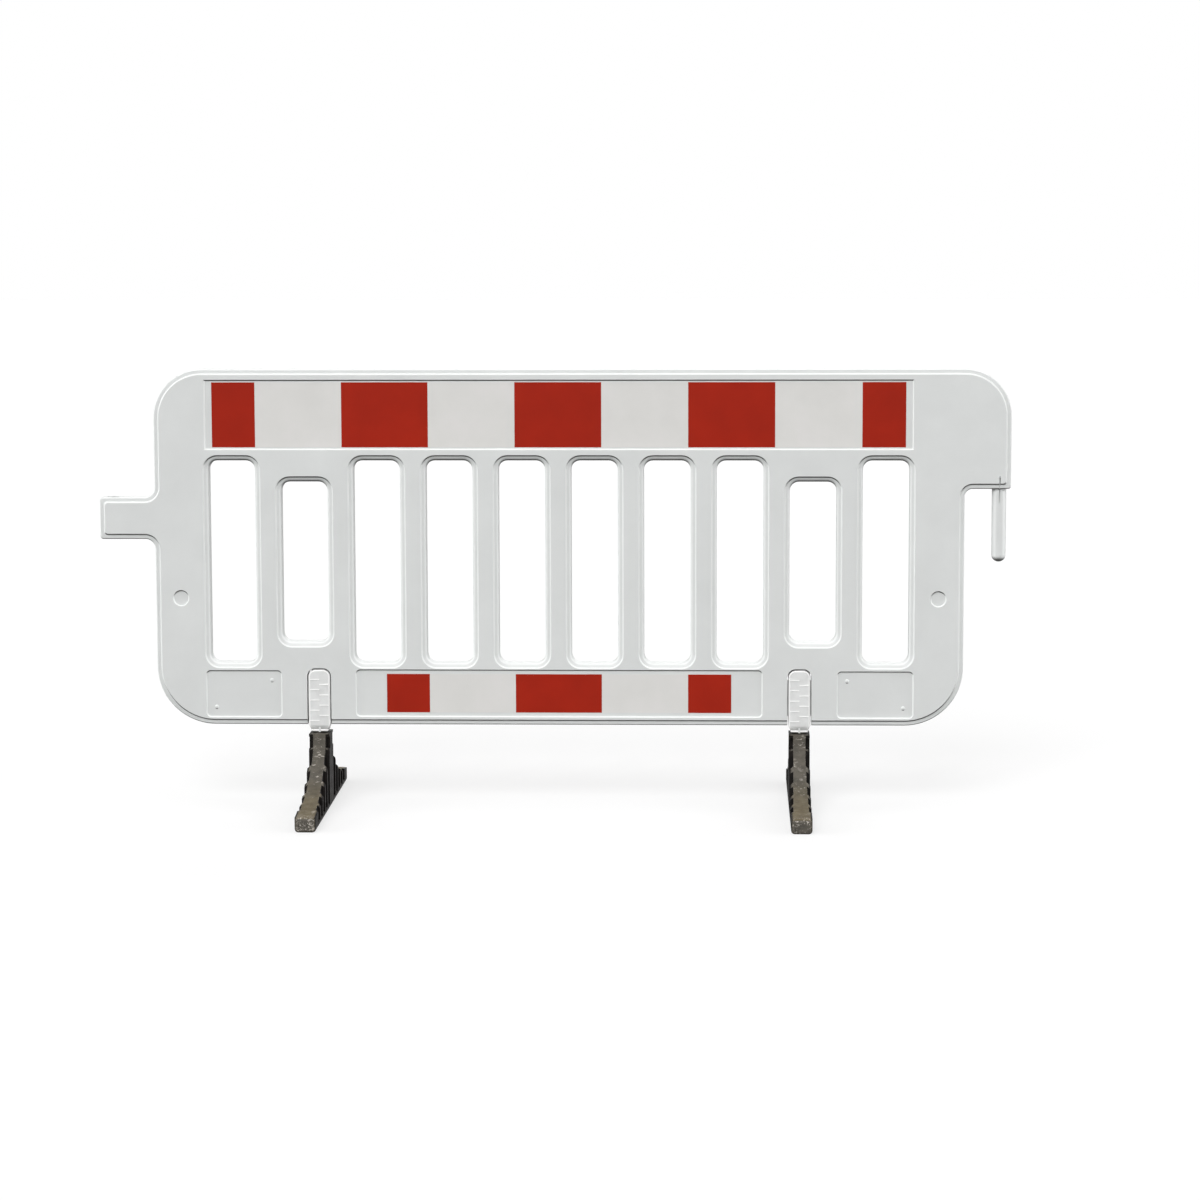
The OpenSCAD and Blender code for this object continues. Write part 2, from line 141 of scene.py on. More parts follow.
def sinkIn(tool, profile):  # takes a cutter's inner face down a profile of width beyond the opening and depth
    pickFaces(tool, lambda c, n: n.y > 0.9)
    for (w0, y0), (w1, y1) in zip(profile, profile[1:]):
        if near(w0, w1):
            push((0, y0 - y1, 0))
        else:
            bpy.ops.mesh.inset(thickness=w0 - w1, depth=y0 - y1, use_even_offset=True, use_boundary=True)
    done()


def cut(piece, cutter, how="DIFFERENCE"):
    only(piece)
    boolean = piece.modifiers.new("cut", "BOOLEAN")
    boolean.operation = how
    boolean.solver = "EXACT"
    boolean.object = cutter
    bpy.ops.object.modifier_apply(modifier="cut")
    bpy.data.objects.remove(cutter)


def copyOf(piece, name, move=(0, 0, 0)):
    only(piece)
    bpy.ops.object.duplicate()
    twin = bpy.context.object
    twin.name = name
    twin.location = Vector(move)
    bpy.ops.object.transform_apply(location=True, rotation=True, scale=True)
    return twin


def joined(pieces):
    bpy.ops.object.select_all(action="DESELECT")
    for piece in pieces:
        piece.select_set(True)
    bpy.context.view_layer.objects.active = pieces[0]
    bpy.ops.object.join()
    return pieces[0]


def flipped(piece, axis):  # turns a piece over to the other side of a middle plane
    only(piece)
    piece.scale[axis] = -1
    bpy.ops.object.transform_apply(location=True, rotation=True, scale=True)
    editing(piece)
    bpy.ops.mesh.select_all(action="SELECT")
    bpy.ops.mesh.normals_make_consistent(inside=False)
    done()
    return piece


def softEdges(piece, width, steps, angle=30):  # rounds the edges, and marks what it rounded for the material
    only(piece)
    piece.data.materials.clear()
    for i in range(2):
        piece.data.materials.append(None)
    bevel = piece.modifiers.new("edges", "BEVEL")
    bevel.width = width
    bevel.segments = steps
    bevel.limit_method = "ANGLE"
    bevel.angle_limit = math.radians(angle)
    bevel.use_clamp_overlap = True
    bevel.miter_outer = "MITER_ARC"
    bevel.material = 1
    bpy.ops.object.modifier_apply(modifier="edges")
    # the worn mark carries wear on the feet, and painted highlights on the columns and the feet's top rim
    marks = piece.data.attributes.new("worn", "FLOAT", "FACE")
    for face in piece.data.polygons:
        marks.data[face.index].value = face.material_index
        face.material_index = 0


def dressed(piece, material, angle=40):  # smooth shading between sharp edges, and the piece's material
    piece.data.materials.clear()
    piece.data.materials.append(material)
    only(piece)
    bpy.ops.object.shade_smooth_by_angle(angle=math.radians(angle))
    weighted = piece.modifiers.new("weights", "WEIGHTED_NORMAL")
    weighted.keep_sharp = True
    weighted.weight = 60
    bpy.ops.object.modifier_apply(modifier="weights")


def cleaned(piece):
    editing(piece)
    bpy.ops.mesh.select_all(action="SELECT")
    bpy.ops.mesh.remove_doubles(threshold=2e-6)
    bpy.ops.mesh.dissolve_degenerate(threshold=2e-6)
    bpy.ops.mesh.normals_make_consistent(inside=False)
    done()


def colour(code):  # sRGB hex to the linear value that a socket takes
    parts = [int(code[i:i + 2], 16) / 255 for i in (1, 3, 5)]
    return tuple(c / 12.92 if c <= 0.04045 else ((c + 0.055) / 1.055) ** 2.4 for c in parts) + (1,)


def addNode(tree, kind, inputs=None, stops=(), **settings):  # an input is a plain value, or a node and its output
    node = tree.nodes.new(kind)
    for name, value in settings.items():
        setattr(node, name, value)
    for name, value in (inputs or {}).items():
        if isinstance(value, tuple) and isinstance(value[0], bpy.types.Node):
            tree.links.new(value[0].outputs[value[1]], node.inputs[name])
        else:
            node.inputs[name].default_value = value
    while stops and len(node.color_ramp.elements) < len(stops):
        node.color_ramp.elements.new(0.5)
    for i, (position, code) in enumerate(stops):
        node.color_ramp.elements[i].position = position
        node.color_ramp.elements[i].color = colour(code)
    return node


def newMaterial(name):
    material = bpy.data.materials.new(name)
    material.use_nodes = True
    material.node_tree.nodes.clear()
    return material


mixFactor, mixFirst, mixSecond, mixResult = 0, 6, 7, 2  # a colour Mix node's own sockets

# the thin colour is a painted highlight for slanted edge faces, and the under-ledge colour a painted shade
plastic = {
    "tones": ((0.3, "#D6D8D7"), (0.52, "#D9DBDA"), (0.72, "#DCDEDD")), "thin": "#EDEFEE", "paintedUnderShade": "#4A4A48",
    "cloudScale": 9, "skinScale": 140, "sinkScale": 16,  # patches of 110 mm, a skin of 7 mm, sink marks of 60 mm
}


def makePanelPlastic(m):
    material = newMaterial("mouldedPolyethylene")  # satin white from the mould, with a faint uneven skin, a painted highlight on slanted edges and painted shade under ledges
    tree = material.node_tree
    place = addNode(tree, "ShaderNodeTexCoord")
    clouds = addNode(tree, "ShaderNodeTexNoise", {"Vector": (place, "Object"), "Scale": m["cloudScale"], "Detail": 5,
                                                  "Roughness": 0.55})
    tone = addNode(tree, "ShaderNodeValToRGB", {"Fac": (clouds, "Fac")}, m["tones"])
    facing = addNode(tree, "ShaderNodeSeparateXYZ", {"Vector": (place, "Normal")})
    depth = addNode(tree, "ShaderNodeMath", {0: (facing, "Y")}, operation="ABSOLUTE")
    slanted = addNode(tree, "ShaderNodeMapRange", {"Value": (depth, 0), "From Min": 0.94, "From Max": 0.8})
    shallow = addNode(tree, "ShaderNodeMapRange", {"Value": (depth, 0), "From Min": 0.25, "From Max": 0.5})
    thin = addNode(tree, "ShaderNodeMath", {0: (slanted, 0), 1: (shallow, 0)}, operation="MULTIPLY")
    edgeHighlighted = addNode(tree, "ShaderNodeMix", {mixFactor: (thin, 0), mixFirst: (tone, "Color"),
                                            mixSecond: colour(m["thin"])}, data_type="RGBA")  # painted highlight on slanted edge faces
    # painted shade: faces that look down take a dark colour
    under = addNode(tree, "ShaderNodeMapRange", {"Value": (facing, "Z"), "From Min": -0.25, "From Max": -0.65})
    whole = addNode(tree, "ShaderNodeMix", {mixFactor: (under, 0), mixFirst: (edgeHighlighted, mixResult),
                                            mixSecond: colour(m["paintedUnderShade"])}, data_type="RGBA")  # painted shade under ledges, on faces that look down
    streaks = addNode(tree, "ShaderNodeMapping", {"Vector": (place, "Object"), "Scale": (60, 60, 4)})
    wipes = addNode(tree, "ShaderNodeTexNoise", {"Vector": (streaks, "Vector"), "Scale": 1, "Detail": 3})
    shine = addNode(tree, "ShaderNodeMapRange", {"Value": (wipes, "Fac"), "To Min": 0.38, "To Max": 0.52})
    waves = addNode(tree, "ShaderNodeTexNoise", {"Vector": (place, "Object"), "Scale": m["sinkScale"], "Detail": 2})
    sink = addNode(tree, "ShaderNodeBump", {"Height": (waves, "Fac"), "Distance": 0.0006})
    skin = addNode(tree, "ShaderNodeTexNoise", {"Vector": (place, "Object"), "Scale": m["skinScale"], "Detail": 3})
    grain = addNode(tree, "ShaderNodeBump", {"Height": (skin, "Fac"), "Distance": 0.00008,
                                             "Normal": (sink, "Normal")})
    shader = addNode(tree, "ShaderNodeBsdfPrincipled", {
        "Base Color": (whole, mixResult), "Roughness": (shine, 0), "Normal": (grain, "Normal"), "IOR": 1.5,
        "Specular IOR Level": 0.4})
    addNode(tree, "ShaderNodeOutputMaterial", {"Surface": (shader, "BSDF")})
    return material


film = {
    "white": ("beadFilmWhite", "#D9D8D5", "#DCDBD8", "#E0DEDC"),
    "red": ("beadFilmRed", "#961A02", "#9C1C03", "#A41F05"),
    "cellScale": 260,  # 4 mm cells
}


def makeFilm(m, key):
    name, dark, plain, light = m[key]
    material = newMaterial(name)  # glass bead film under a clear face: flat colour, soft sheen, faint cells
    tree = material.node_tree
    place = addNode(tree, "ShaderNodeTexCoord")
    clouds = addNode(tree, "ShaderNodeTexNoise", {"Vector": (place, "Object"), "Scale": 12, "Detail": 4})
    tone = addNode(tree, "ShaderNodeValToRGB", {"Fac": (clouds, "Fac")}, ((0.3, dark), (0.5, plain), (0.75, light)))
    cells = addNode(tree, "ShaderNodeTexVoronoi", {"Vector": (place, "Object"), "Scale": m["cellScale"]},
                    feature="DISTANCE_TO_EDGE")
    seams = addNode(tree, "ShaderNodeMapRange", {"Value": (cells, "Distance"), "From Max": 0.12, "To Min": 0.86})
    whole = addNode(tree, "ShaderNodeMix", {mixFactor: (seams, 0), mixFirst: colour(light),
                                            mixSecond: (tone, "Color")}, data_type="RGBA")
    ripple = addNode(tree, "ShaderNodeTexNoise", {"Vector": (place, "Object"), "Scale": 25, "Detail": 2})
    lift = addNode(tree, "ShaderNodeBump", {"Height": (ripple, "Fac"), "Distance": 0.0003})
    shader = addNode(tree, "ShaderNodeBsdfPrincipled", {
        "Base Color": (whole, mixResult), "Normal": (lift, "Normal"), "IOR": 1.5, "Roughness": 0.34,
        "Specular IOR Level": 0.2})
    addNode(tree, "ShaderNodeOutputMaterial", {"Surface": (shader, "BSDF")})
    return material


# the edge colour is a painted highlight, and the under colour a painted shade
polyamide = {"tones": ((0.3, "#D9DAD9"), (0.5, "#E0E1E0"), (0.75, "#E6E7E6")), "edge": "#FAFAF9", "under": "#6C6C6B"}


def makeColumnPlastic(m):
    material = newMaterial("castPolyamide")  # milky natural plastic, slightly cloudy, with a painted highlight on its rounded edges and upward lips and painted shade on faces that look down
    tree = material.node_tree
    place = addNode(tree, "ShaderNodeTexCoord")
    clouds = addNode(tree, "ShaderNodeTexNoise", {"Vector": (place, "Object"), "Scale": 45, "Detail": 4})
    tone = addNode(tree, "ShaderNodeValToRGB", {"Fac": (clouds, "Fac")}, m["tones"])
    # the rounded faces marked by softEdges and the lips that face up get a painted highlight
    edges = addNode(tree, "ShaderNodeAttribute", attribute_name="worn")
    facing = addNode(tree, "ShaderNodeSeparateXYZ", {"Vector": (place, "Normal")})
    lips = addNode(tree, "ShaderNodeMapRange", {"Value": (facing, "Z"), "From Min": 0.1, "From Max": 0.2})
    thin = addNode(tree, "ShaderNodeMath", {0: (edges, "Fac"), 1: (lips, 0)}, operation="MAXIMUM")
    edgeHighlighted = addNode(tree, "ShaderNodeMix", {mixFactor: (thin, 0), mixFirst: (tone, "Color"),
                                            mixSecond: colour(m["edge"])}, data_type="RGBA")
    # painted shade on faces that look down
    under = addNode(tree, "ShaderNodeMapRange", {"Value": (facing, "Z"), "From Min": -0.05, "From Max": -0.65})
    whole = addNode(tree, "ShaderNodeMix", {mixFactor: (under, 0), mixFirst: (edgeHighlighted, mixResult),
                                            mixSecond: colour(m["under"])}, data_type="RGBA")
    skin = addNode(tree, "ShaderNodeTexNoise", {"Vector": (place, "Object"), "Scale": 250, "Detail": 3})  # 4 mm skin
    grain = addNode(tree, "ShaderNodeBump", {"Height": (skin, "Fac"), "Distance": 0.00012})
    shader = addNode(tree, "ShaderNodeBsdfPrincipled", {
        "Base Color": (whole, mixResult), "Normal": (grain, "Normal"), "IOR": 1.52, "Roughness": 0.4,
        "Specular IOR Level": 0.4})
    addNode(tree, "ShaderNodeOutputMaterial", {"Surface": (shader, "BSDF")})
    return material


def makeSteel():
    material = newMaterial("zincPlatedSteel")  # grey metal with the mottle of thin zinc, spots of 2.5 mm
    tree = material.node_tree
    place = addNode(tree, "ShaderNodeTexCoord")
    spots = addNode(tree, "ShaderNodeTexVoronoi", {"Vector": (place, "Object"), "Scale": 400})
    tone = addNode(tree, "ShaderNodeValToRGB", {"Fac": (spots, "Distance")}, ((0.1, "#9B9EA1"), (0.7, "#B9BBBD")))
    clouds = addNode(tree, "ShaderNodeTexNoise", {"Vector": (place, "Object"), "Scale": 120, "Detail": 4})
    shine = addNode(tree, "ShaderNodeMapRange", {"Value": (clouds, "Fac"), "To Min": 0.25, "To Max": 0.5})
    shader = addNode(tree, "ShaderNodeBsdfPrincipled", {"Base Color": (tone, "Color"), "Roughness": (shine, 0),
                                                        "Metallic": 1})
    addNode(tree, "ShaderNodeOutputMaterial", {"Surface": (shader, "BSDF")})
    return material


# the flank tones are painted shade, darker than the plastic, and the top tones are lighter, partly painted light
recycled = {
    "foot": {"name": "pressedRecycledPlastic", "shadedFlank": ((0.35, "#0A0807"), (0.72, "#1A1613")),
             "top": ((0.3, "#504D47"), (0.5, "#5B5750"), (0.75, "#69645B")),
             "dust": ((0.3, "#5A5242"), (0.5, "#69604D"), (0.75, "#7A705B")), "worn": "#CFC8BE", "topRimHighlight": "#84785F"},
    "disc": {"name": "pressedRecycledDisc", "shadedFlank": ((0.35, "#121010"), (0.72, "#201C19")),
             "top": ((0.3, "#2E2B27"), (0.5, "#38342F"), (0.75, "#454039")),
             "dust": ((0.3, "#38342F"), (0.5, "#454039"), (0.75, "#524C44")), "worn": "#8A8378", "topRimHighlight": "#454039"},
    "middle": 0.011, "fromMiddle": 0.558,  # where the two feet stand
    "flakeScale": 210, "pitScale": 320,  # 5 mm flakes, 3 mm pits
}


def makeRecycled(m, key):
    tones = m[key]
    material = newMaterial(tones["name"])  # pressed from ground plastic: flanks painted near black as painted shade, a dusty ridge and neck and toe ends in a lighter tone that is partly painted light, pale knocks
    tree = material.node_tree
    place = addNode(tree, "ShaderNodeTexCoord")
    spot = addNode(tree, "ShaderNodeSeparateXYZ", {"Vector": (place, "Object")})
    facing = addNode(tree, "ShaderNodeSeparateXYZ", {"Vector": (place, "Normal")})
    shifted = addNode(tree, "ShaderNodeMath", {0: (spot, "X"), 1: m["middle"]}, operation="SUBTRACT")
    folded = addNode(tree, "ShaderNodeMath", {0: (shifted, 0)}, operation="ABSOLUTE")
    beside = addNode(tree, "ShaderNodeMath", {0: (folded, 0), 1: m["fromMiddle"]}, operation="SUBTRACT")
    across = addNode(tree, "ShaderNodeMath", {0: (beside, 0)}, operation="ABSOLUTE")  # from its own foot's middle
    along = addNode(tree, "ShaderNodeMath", {0: (spot, "Y")}, operation="ABSOLUTE")
    turned = addNode(tree, "ShaderNodeMath", {0: (facing, "Y")}, operation="ABSOLUTE")
    toe = addNode(tree, "ShaderNodeMapRange", {"Value": (along, 0), "From Min": 0.318, "From Max": 0.342})
    endFace = addNode(tree, "ShaderNodeMapRange", {"Value": (turned, 0), "From Min": 0.5, "From Max": 0.8})
    toeFace = addNode(tree, "ShaderNodeMath", {0: (toe, 0), 1: (endFace, 0)}, operation="MULTIPLY")
    narrow = addNode(tree, "ShaderNodeMapRange", {"Value": (across, 0), "From Min": 0.0152, "From Max": 0.0138})
    upper = addNode(tree, "ShaderNodeMapRange", {"Value": (spot, "Z"), "From Min": 0.12, "From Max": 0.135})
    neckSide = addNode(tree, "ShaderNodeMath", {0: (narrow, 0), 1: (upper, 0)}, operation="MULTIPLY")
    neck = addNode(tree, "ShaderNodeMath", {0: (neckSide, 0), 1: (endFace, 0)}, operation="MULTIPLY")
    # the ridge, the neck tabs and the toe end take the lighter tone; the rest takes the painted-shade flank tone
    upward = addNode(tree, "ShaderNodeMapRange", {"Value": (facing, "Z"), "From Min": 0.12, "From Max": 0.3})
    wide = addNode(tree, "ShaderNodeMapRange", {"Value": (across, 0), "From Min": 0.0215, "From Max": 0.0185})
    ridge = addNode(tree, "ShaderNodeMath", {0: (upward, 0), 1: (wide, 0)}, operation="MULTIPLY")
    ridgeNeck = addNode(tree, "ShaderNodeMath", {0: (ridge, 0), 1: (neck, 0)}, operation="MAXIMUM")
    litAndWornFaces = addNode(tree, "ShaderNodeMath", {0: (ridgeNeck, 0), 1: (toeFace, 0)}, operation="MAXIMUM")
    clouds = addNode(tree, "ShaderNodeTexNoise", {"Vector": (place, "Object"), "Scale": 45, "Detail": 6,
                                                  "Roughness": 0.6})
    shadedFlank = addNode(tree, "ShaderNodeValToRGB", {"Fac": (clouds, "Fac")}, tones["shadedFlank"])
    top = addNode(tree, "ShaderNodeValToRGB", {"Fac": (clouds, "Fac")}, tones["top"])
    dust = addNode(tree, "ShaderNodeValToRGB", {"Fac": (clouds, "Fac")}, tones["dust"])
    low = addNode(tree, "ShaderNodeMapRange", {"Value": (spot, "Z"), "From Min": 0.085, "From Max": 0.04})
    dusty = addNode(tree, "ShaderNodeMix", {  # dust lies on the low part of the ridge, and not on the toe's end
        mixFactor: (low, 0), mixFirst: (top, "Color"), mixSecond: (dust, "Color")}, data_type="RGBA")
    soil = addNode(tree, "ShaderNodeMix", {mixFactor: (toeFace, 0), mixFirst: (dusty, mixResult),
                                           mixSecond: (top, "Color")}, data_type="RGBA")
    body = addNode(tree, "ShaderNodeMix", {mixFactor: (litAndWornFaces, 0), mixFirst: (shadedFlank, "Color"),
                                           mixSecond: (soil, mixResult)}, data_type="RGBA")
    flakes = addNode(tree, "ShaderNodeTexVoronoi", {"Vector": (place, "Object"), "Scale": m["flakeScale"]})
    flake = addNode(tree, "ShaderNodeMapRange", {"Value": (flakes, "Distance"), "From Min": 0.2, "From Max": 0.12})
    patches = addNode(tree, "ShaderNodeTexNoise", {"Vector": (place, "Object"), "Scale": 33, "Detail": 3})
    picked = addNode(tree, "ShaderNodeMapRange", {"Value": (patches, "Fac"), "From Min": 0.56, "From Max": 0.64})
    flecks = addNode(tree, "ShaderNodeMath", {0: (flake, 0), 1: (picked, 0)}, operation="MULTIPLY")
    slant = addNode(tree, "ShaderNodeMapping", {"Vector": (place, "Object"), "Rotation": (0, 0.6, 0),
                                                "Scale": (90, 30, 230)})
    strokes = addNode(tree, "ShaderNodeTexNoise", {"Vector": (slant, "Vector"), "Scale": 1, "Detail": 5,
                                                   "Roughness": 0.6})
    scuff = addNode(tree, "ShaderNodeMapRange", {"Value": (strokes, "Fac"), "From Min": 0.57, "From Max": 0.64})
    zones = addNode(tree, "ShaderNodeTexNoise", {"Vector": (place, "Object"), "Scale": 16, "Detail": 2})
    zone = addNode(tree, "ShaderNodeMapRange", {"Value": (zones, "Fac"), "From Min": 0.48, "From Max": 0.6})
    rubs = addNode(tree, "ShaderNodeMath", {0: (scuff, 0), 1: (zone, 0)}, operation="MULTIPLY")
    marks = addNode(tree, "ShaderNodeMath", {0: (flecks, 0), 1: (rubs, 0)}, operation="MAXIMUM")
    softMarks = addNode(tree, "ShaderNodeMath", {0: (marks, 0), 1: 0.7}, operation="MULTIPLY")
    edges = addNode(tree, "ShaderNodeAttribute", attribute_name="worn")
    fine = addNode(tree, "ShaderNodeTexNoise", {"Vector": (place, "Object"), "Scale": 120, "Detail": 4,
                                                "Roughness": 0.65})
    rough = addNode(tree, "ShaderNodeMapRange", {"Value": (fine, "Fac"), "From Min": 0.38, "From Max": 0.54})
    rubbed = addNode(tree, "ShaderNodeMath", {0: (edges, "Fac"), 1: (rough, 0)}, operation="MULTIPLY")
    softRubbed = addNode(tree, "ShaderNodeMath", {0: (rubbed, 0), 1: 0.95}, operation="MULTIPLY")
    knocked = addNode(tree, "ShaderNodeMath", {0: (softMarks, 0), 1: (softRubbed, 0)}, operation="MAXIMUM")
    grit = addNode(tree, "ShaderNodeTexNoise", {"Vector": (place, "Object"), "Scale": 230, "Detail": 3,
                                                "Roughness": 0.7})
    specks = addNode(tree, "ShaderNodeMapRange", {"Value": (grit, "Fac"), "From Min": 0.56, "From Max": 0.66})
    toeSpecks = addNode(tree, "ShaderNodeMath", {0: (specks, 0), 1: (toe, 0)}, operation="MULTIPLY")
    pale = addNode(tree, "ShaderNodeMath", {0: (knocked, 0), 1: (toeSpecks, 0)}, operation="MAXIMUM")
    palePlaced = addNode(tree, "ShaderNodeMath", {0: (pale, 0), 1: (litAndWornFaces, 0)}, operation="MULTIPLY")
    knockedBody = addNode(tree, "ShaderNodeMix", {mixFactor: (palePlaced, 0), mixFirst: (body, mixResult),
                                                  mixSecond: colour(tones["worn"])}, data_type="RGBA")
    # a painted highlight along the top's rounded rim
    shoulder = addNode(tree, "ShaderNodeMapRange", {"Value": (spot, "Z"), "From Min": 0.160, "From Max": 0.170,
                                                    "To Max": 0.8})
    rim = addNode(tree, "ShaderNodeMath", {0: (edges, "Fac"), 1: (shoulder, 0)}, operation="MULTIPLY")
    whole = addNode(tree, "ShaderNodeMix", {mixFactor: (rim, 0), mixFirst: (knockedBody, mixResult),
                                            mixSecond: colour(tones["topRimHighlight"])}, data_type="RGBA")  # painted highlight along the top's rounded rim
    dents = addNode(tree, "ShaderNodeTexNoise", {"Vector": (place, "Object"), "Scale": 60, "Detail": 3})
    hollow = addNode(tree, "ShaderNodeBump", {"Height": (dents, "Fac"), "Distance": 0.003})
    pits = addNode(tree, "ShaderNodeTexNoise", {"Vector": (place, "Object"), "Scale": m["pitScale"], "Detail": 5,
                                                "Roughness": 0.65})
    grain = addNode(tree, "ShaderNodeBump", {"Height": (pits, "Fac"), "Distance": 0.0009,
                                             "Normal": (hollow, "Normal")})
    shine = addNode(tree, "ShaderNodeMapRange", {"Value": (dents, "Fac"), "To Min": 0.45, "To Max": 0.87})
    shader = addNode(tree, "ShaderNodeBsdfPrincipled", {
        "Base Color": (whole, mixResult), "Roughness": (shine, 0), "Normal": (grain, "Normal"), "IOR": 1.5,
        "Specular IOR Level": 0.12})
    addNode(tree, "ShaderNodeOutputMaterial", {"Surface": (shader, "BSDF")})
    return material


whitePlastic = makePanelPlastic(plastic)
filmWhite, filmRed = makeFilm(film, "white"), makeFilm(film, "red")
naturalPlastic = makeColumnPlastic(polyamide)
zincSteel = makeSteel()
footPlastic, discPlastic = makeRecycled(recycled, "foot"), makeRecycled(recycled, "disc")
print("materials made")


panel = {
    "left": -0.925, "right": 0.947, "low": 0.196, "high": 1.023,
    "tongueEnd": -1.053, "tongueLow": 0.6295, "tongueHigh": 0.7265,
    "overhangEnd": 1.053, "under": 0.747,
    "lowRound": 0.136, "tongueRound": 0.113, "pinRound": 0.107, "tongueRoot": 0.023, "underRoot": 0.018,
    "endRound": 0.006,
    "wallDepth": 0.0185,
    "rim": [(0, 0.0185), (0.00027, 0.01984), (0.00103, 0.02097), (0.00216, 0.02173), (0.0035, 0.022),
            (0.0094, 0.022), (0.0098, 0.0222), (0.0118, 0.0262), (0.0123, 0.0267), (0.0129, 0.02693),
            (0.0137, 0.027)],
    "slotWide": 0.108, "slotPitch": 0.168, "slotRound": 0.021, "slotLow": 0.341, "slotHigh": 0.812,
    "shortTrim": 0.049,
    "slot": [(0.0142, 0.0272), (0.0142, 0.027), (0.0134, 0.02693), (0.0128, 0.0267), (0.0123, 0.0262),
             (0.0103, 0.0226), (0.0098, 0.0224), (0.0066, 0.0215), (0.0042, 0.0206), (0.0021, 0.0192),
             (0.0006, 0.0171), (0, 0.0146), (0, -0.001)],
    "mitreLong": 0.0139, "mitreWide": 6e-5,  # where the rim's corners meet at the ends
    "middle": 0.011,  # the feet, slots and fields are centred here
}


def panelBlank(p):
    shell = block("panelFront", (p["left"], -p["wallDepth"], p["low"]), (p["right"], 0, p["high"]))
    editing(shell)
    for z in (p["tongueLow"], p["tongueHigh"], p["under"]):
        bpy.ops.mesh.select_all(action="SELECT")
        bpy.ops.mesh.bisect(plane_co=(0, 0, z), plane_no=(0, 0, 1))
    pickFaces(shell, lambda c, n: n.x < -0.9 and p["tongueLow"] < c.z < p["tongueHigh"])
    push((p["tongueEnd"] - p["left"], 0, 0))
    pickFaces(shell, lambda c, n: n.x > 0.9 and c.z > p["under"])
    push((p["overhangEnd"] - p["right"], 0, 0))
    bpy.ops.mesh.select_all(action="SELECT")
    bpy.ops.mesh.remove_doubles(threshold=1e-6)
    bpy.ops.mesh.dissolve_limited(angle_limit=math.radians(1))
    for x, z, radius, steps in (
            (p["left"], p["low"], p["lowRound"], 20), (p["right"], p["low"], p["lowRound"], 20),
            (p["left"], p["high"], p["tongueRound"], 18), (p["overhangEnd"], p["high"], p["pinRound"], 18),
            (p["left"], p["tongueLow"], p["tongueRoot"], 10), (p["left"], p["tongueHigh"], p["tongueRoot"], 10),
            (p["right"], p["under"], p["underRoot"], 10)):
        roundEdges(shell, cornerEdge(x, z), radius, steps)
    pickFaces(shell, lambda c, n: n.y < -0.9)
    stepIn(p["rim"])
    for x, z, sx, sz in ((p["tongueEnd"], p["tongueLow"], 1, 1), (p["tongueEnd"], p["tongueHigh"], 1, -1),
                         (p["overhangEnd"], p["under"], -1, 1)):
        def onMitre(c):
            s, t = (c.x - x) * sx, (c.z - z) * sz
            return near(s, t, p["mitreWide"]) and -1e-5 < s < p["mitreLong"]
        roundEdges(shell, lambda a, b: onMitre(a) and onMitre(b), p["endRound"], 5)
    done()
    return shell


def slotCutter(p):
    half = p["slotWide"] / 2
    wide = p["slot"][0][0]

    def one(name, low, high):
        tool = block(name, (-half - wide, -outside, low - wide), (half + wide, -p["slot"][0][1], high + wide))
        editing(tool)
        for x in (-half - wide, half + wide):
            for z in (low - wide, high + wide):
                roundEdges(tool, cornerEdge(x, z), p["slotRound"] + wide, 9)
        sinkIn(tool, p["slot"])
        return tool

    tall = one("tallSlot", p["slotLow"], p["slotHigh"])
    short = one("shortSlot", p["slotLow"] + p["shortTrim"], p["slotHigh"] - p["shortTrim"])
    tools = []
    for i in range(1, 11):
        x = (i - 5.5) * p["slotPitch"] + p["middle"]
        tools.append(copyOf(short if i in (2, 9) else tall, "slot", (x, 0, 0)))
    bpy.data.objects.remove(tall)
    bpy.data.objects.remove(short)
    return joined(tools)


recess = {
    "upper": (-0.815, 0.840, 0.815, 0.996), "lower": (-0.470, 0.217, 0.470, 0.323),
    "labels": 0.733, "labelHalf": 0.086, "labelLow": 0.2155, "labelHigh": 0.3205, "round": 0.008,
    "upperWall": [(0.0036, 0.0275), (0.0036, 0.027), (0.0031, 0.0269), (0.0026, 0.0266), (0.0006, 0.0236),
                  (0.0003, 0.0232), (0, 0.023)],
    "lowerWall": [(0.0032, 0.0275), (0.0032, 0.027), (0.0028, 0.0269), (0.0024, 0.0265), (0.0008, 0.0237),
                  (0.0004, 0.0232), (0, 0.023)],
    "dimples": 0.877, "dimpleZ": 0.492, "dimpleRound": 0.016,
    "studs": 0.021, "studRound": 0.0070, "studHigh": 0.0021, "floor": 0.023,
}


def recessCutter(name, x0, z0, x1, z1, radius, wall):
    wide = wall[0][0]
    tool = block(name, (x0 - wide, -outside, z0 - wide), (x1 + wide, -wall[0][1], z1 + wide))
    editing(tool)
    if radius:
        for x in (x0 - wide, x1 + wide):
            for z in (z0 - wide, z1 + wide):
                roundEdges(tool, cornerEdge(x, z), radius + wide, 8)
    sinkIn(tool, wall)
    return tool


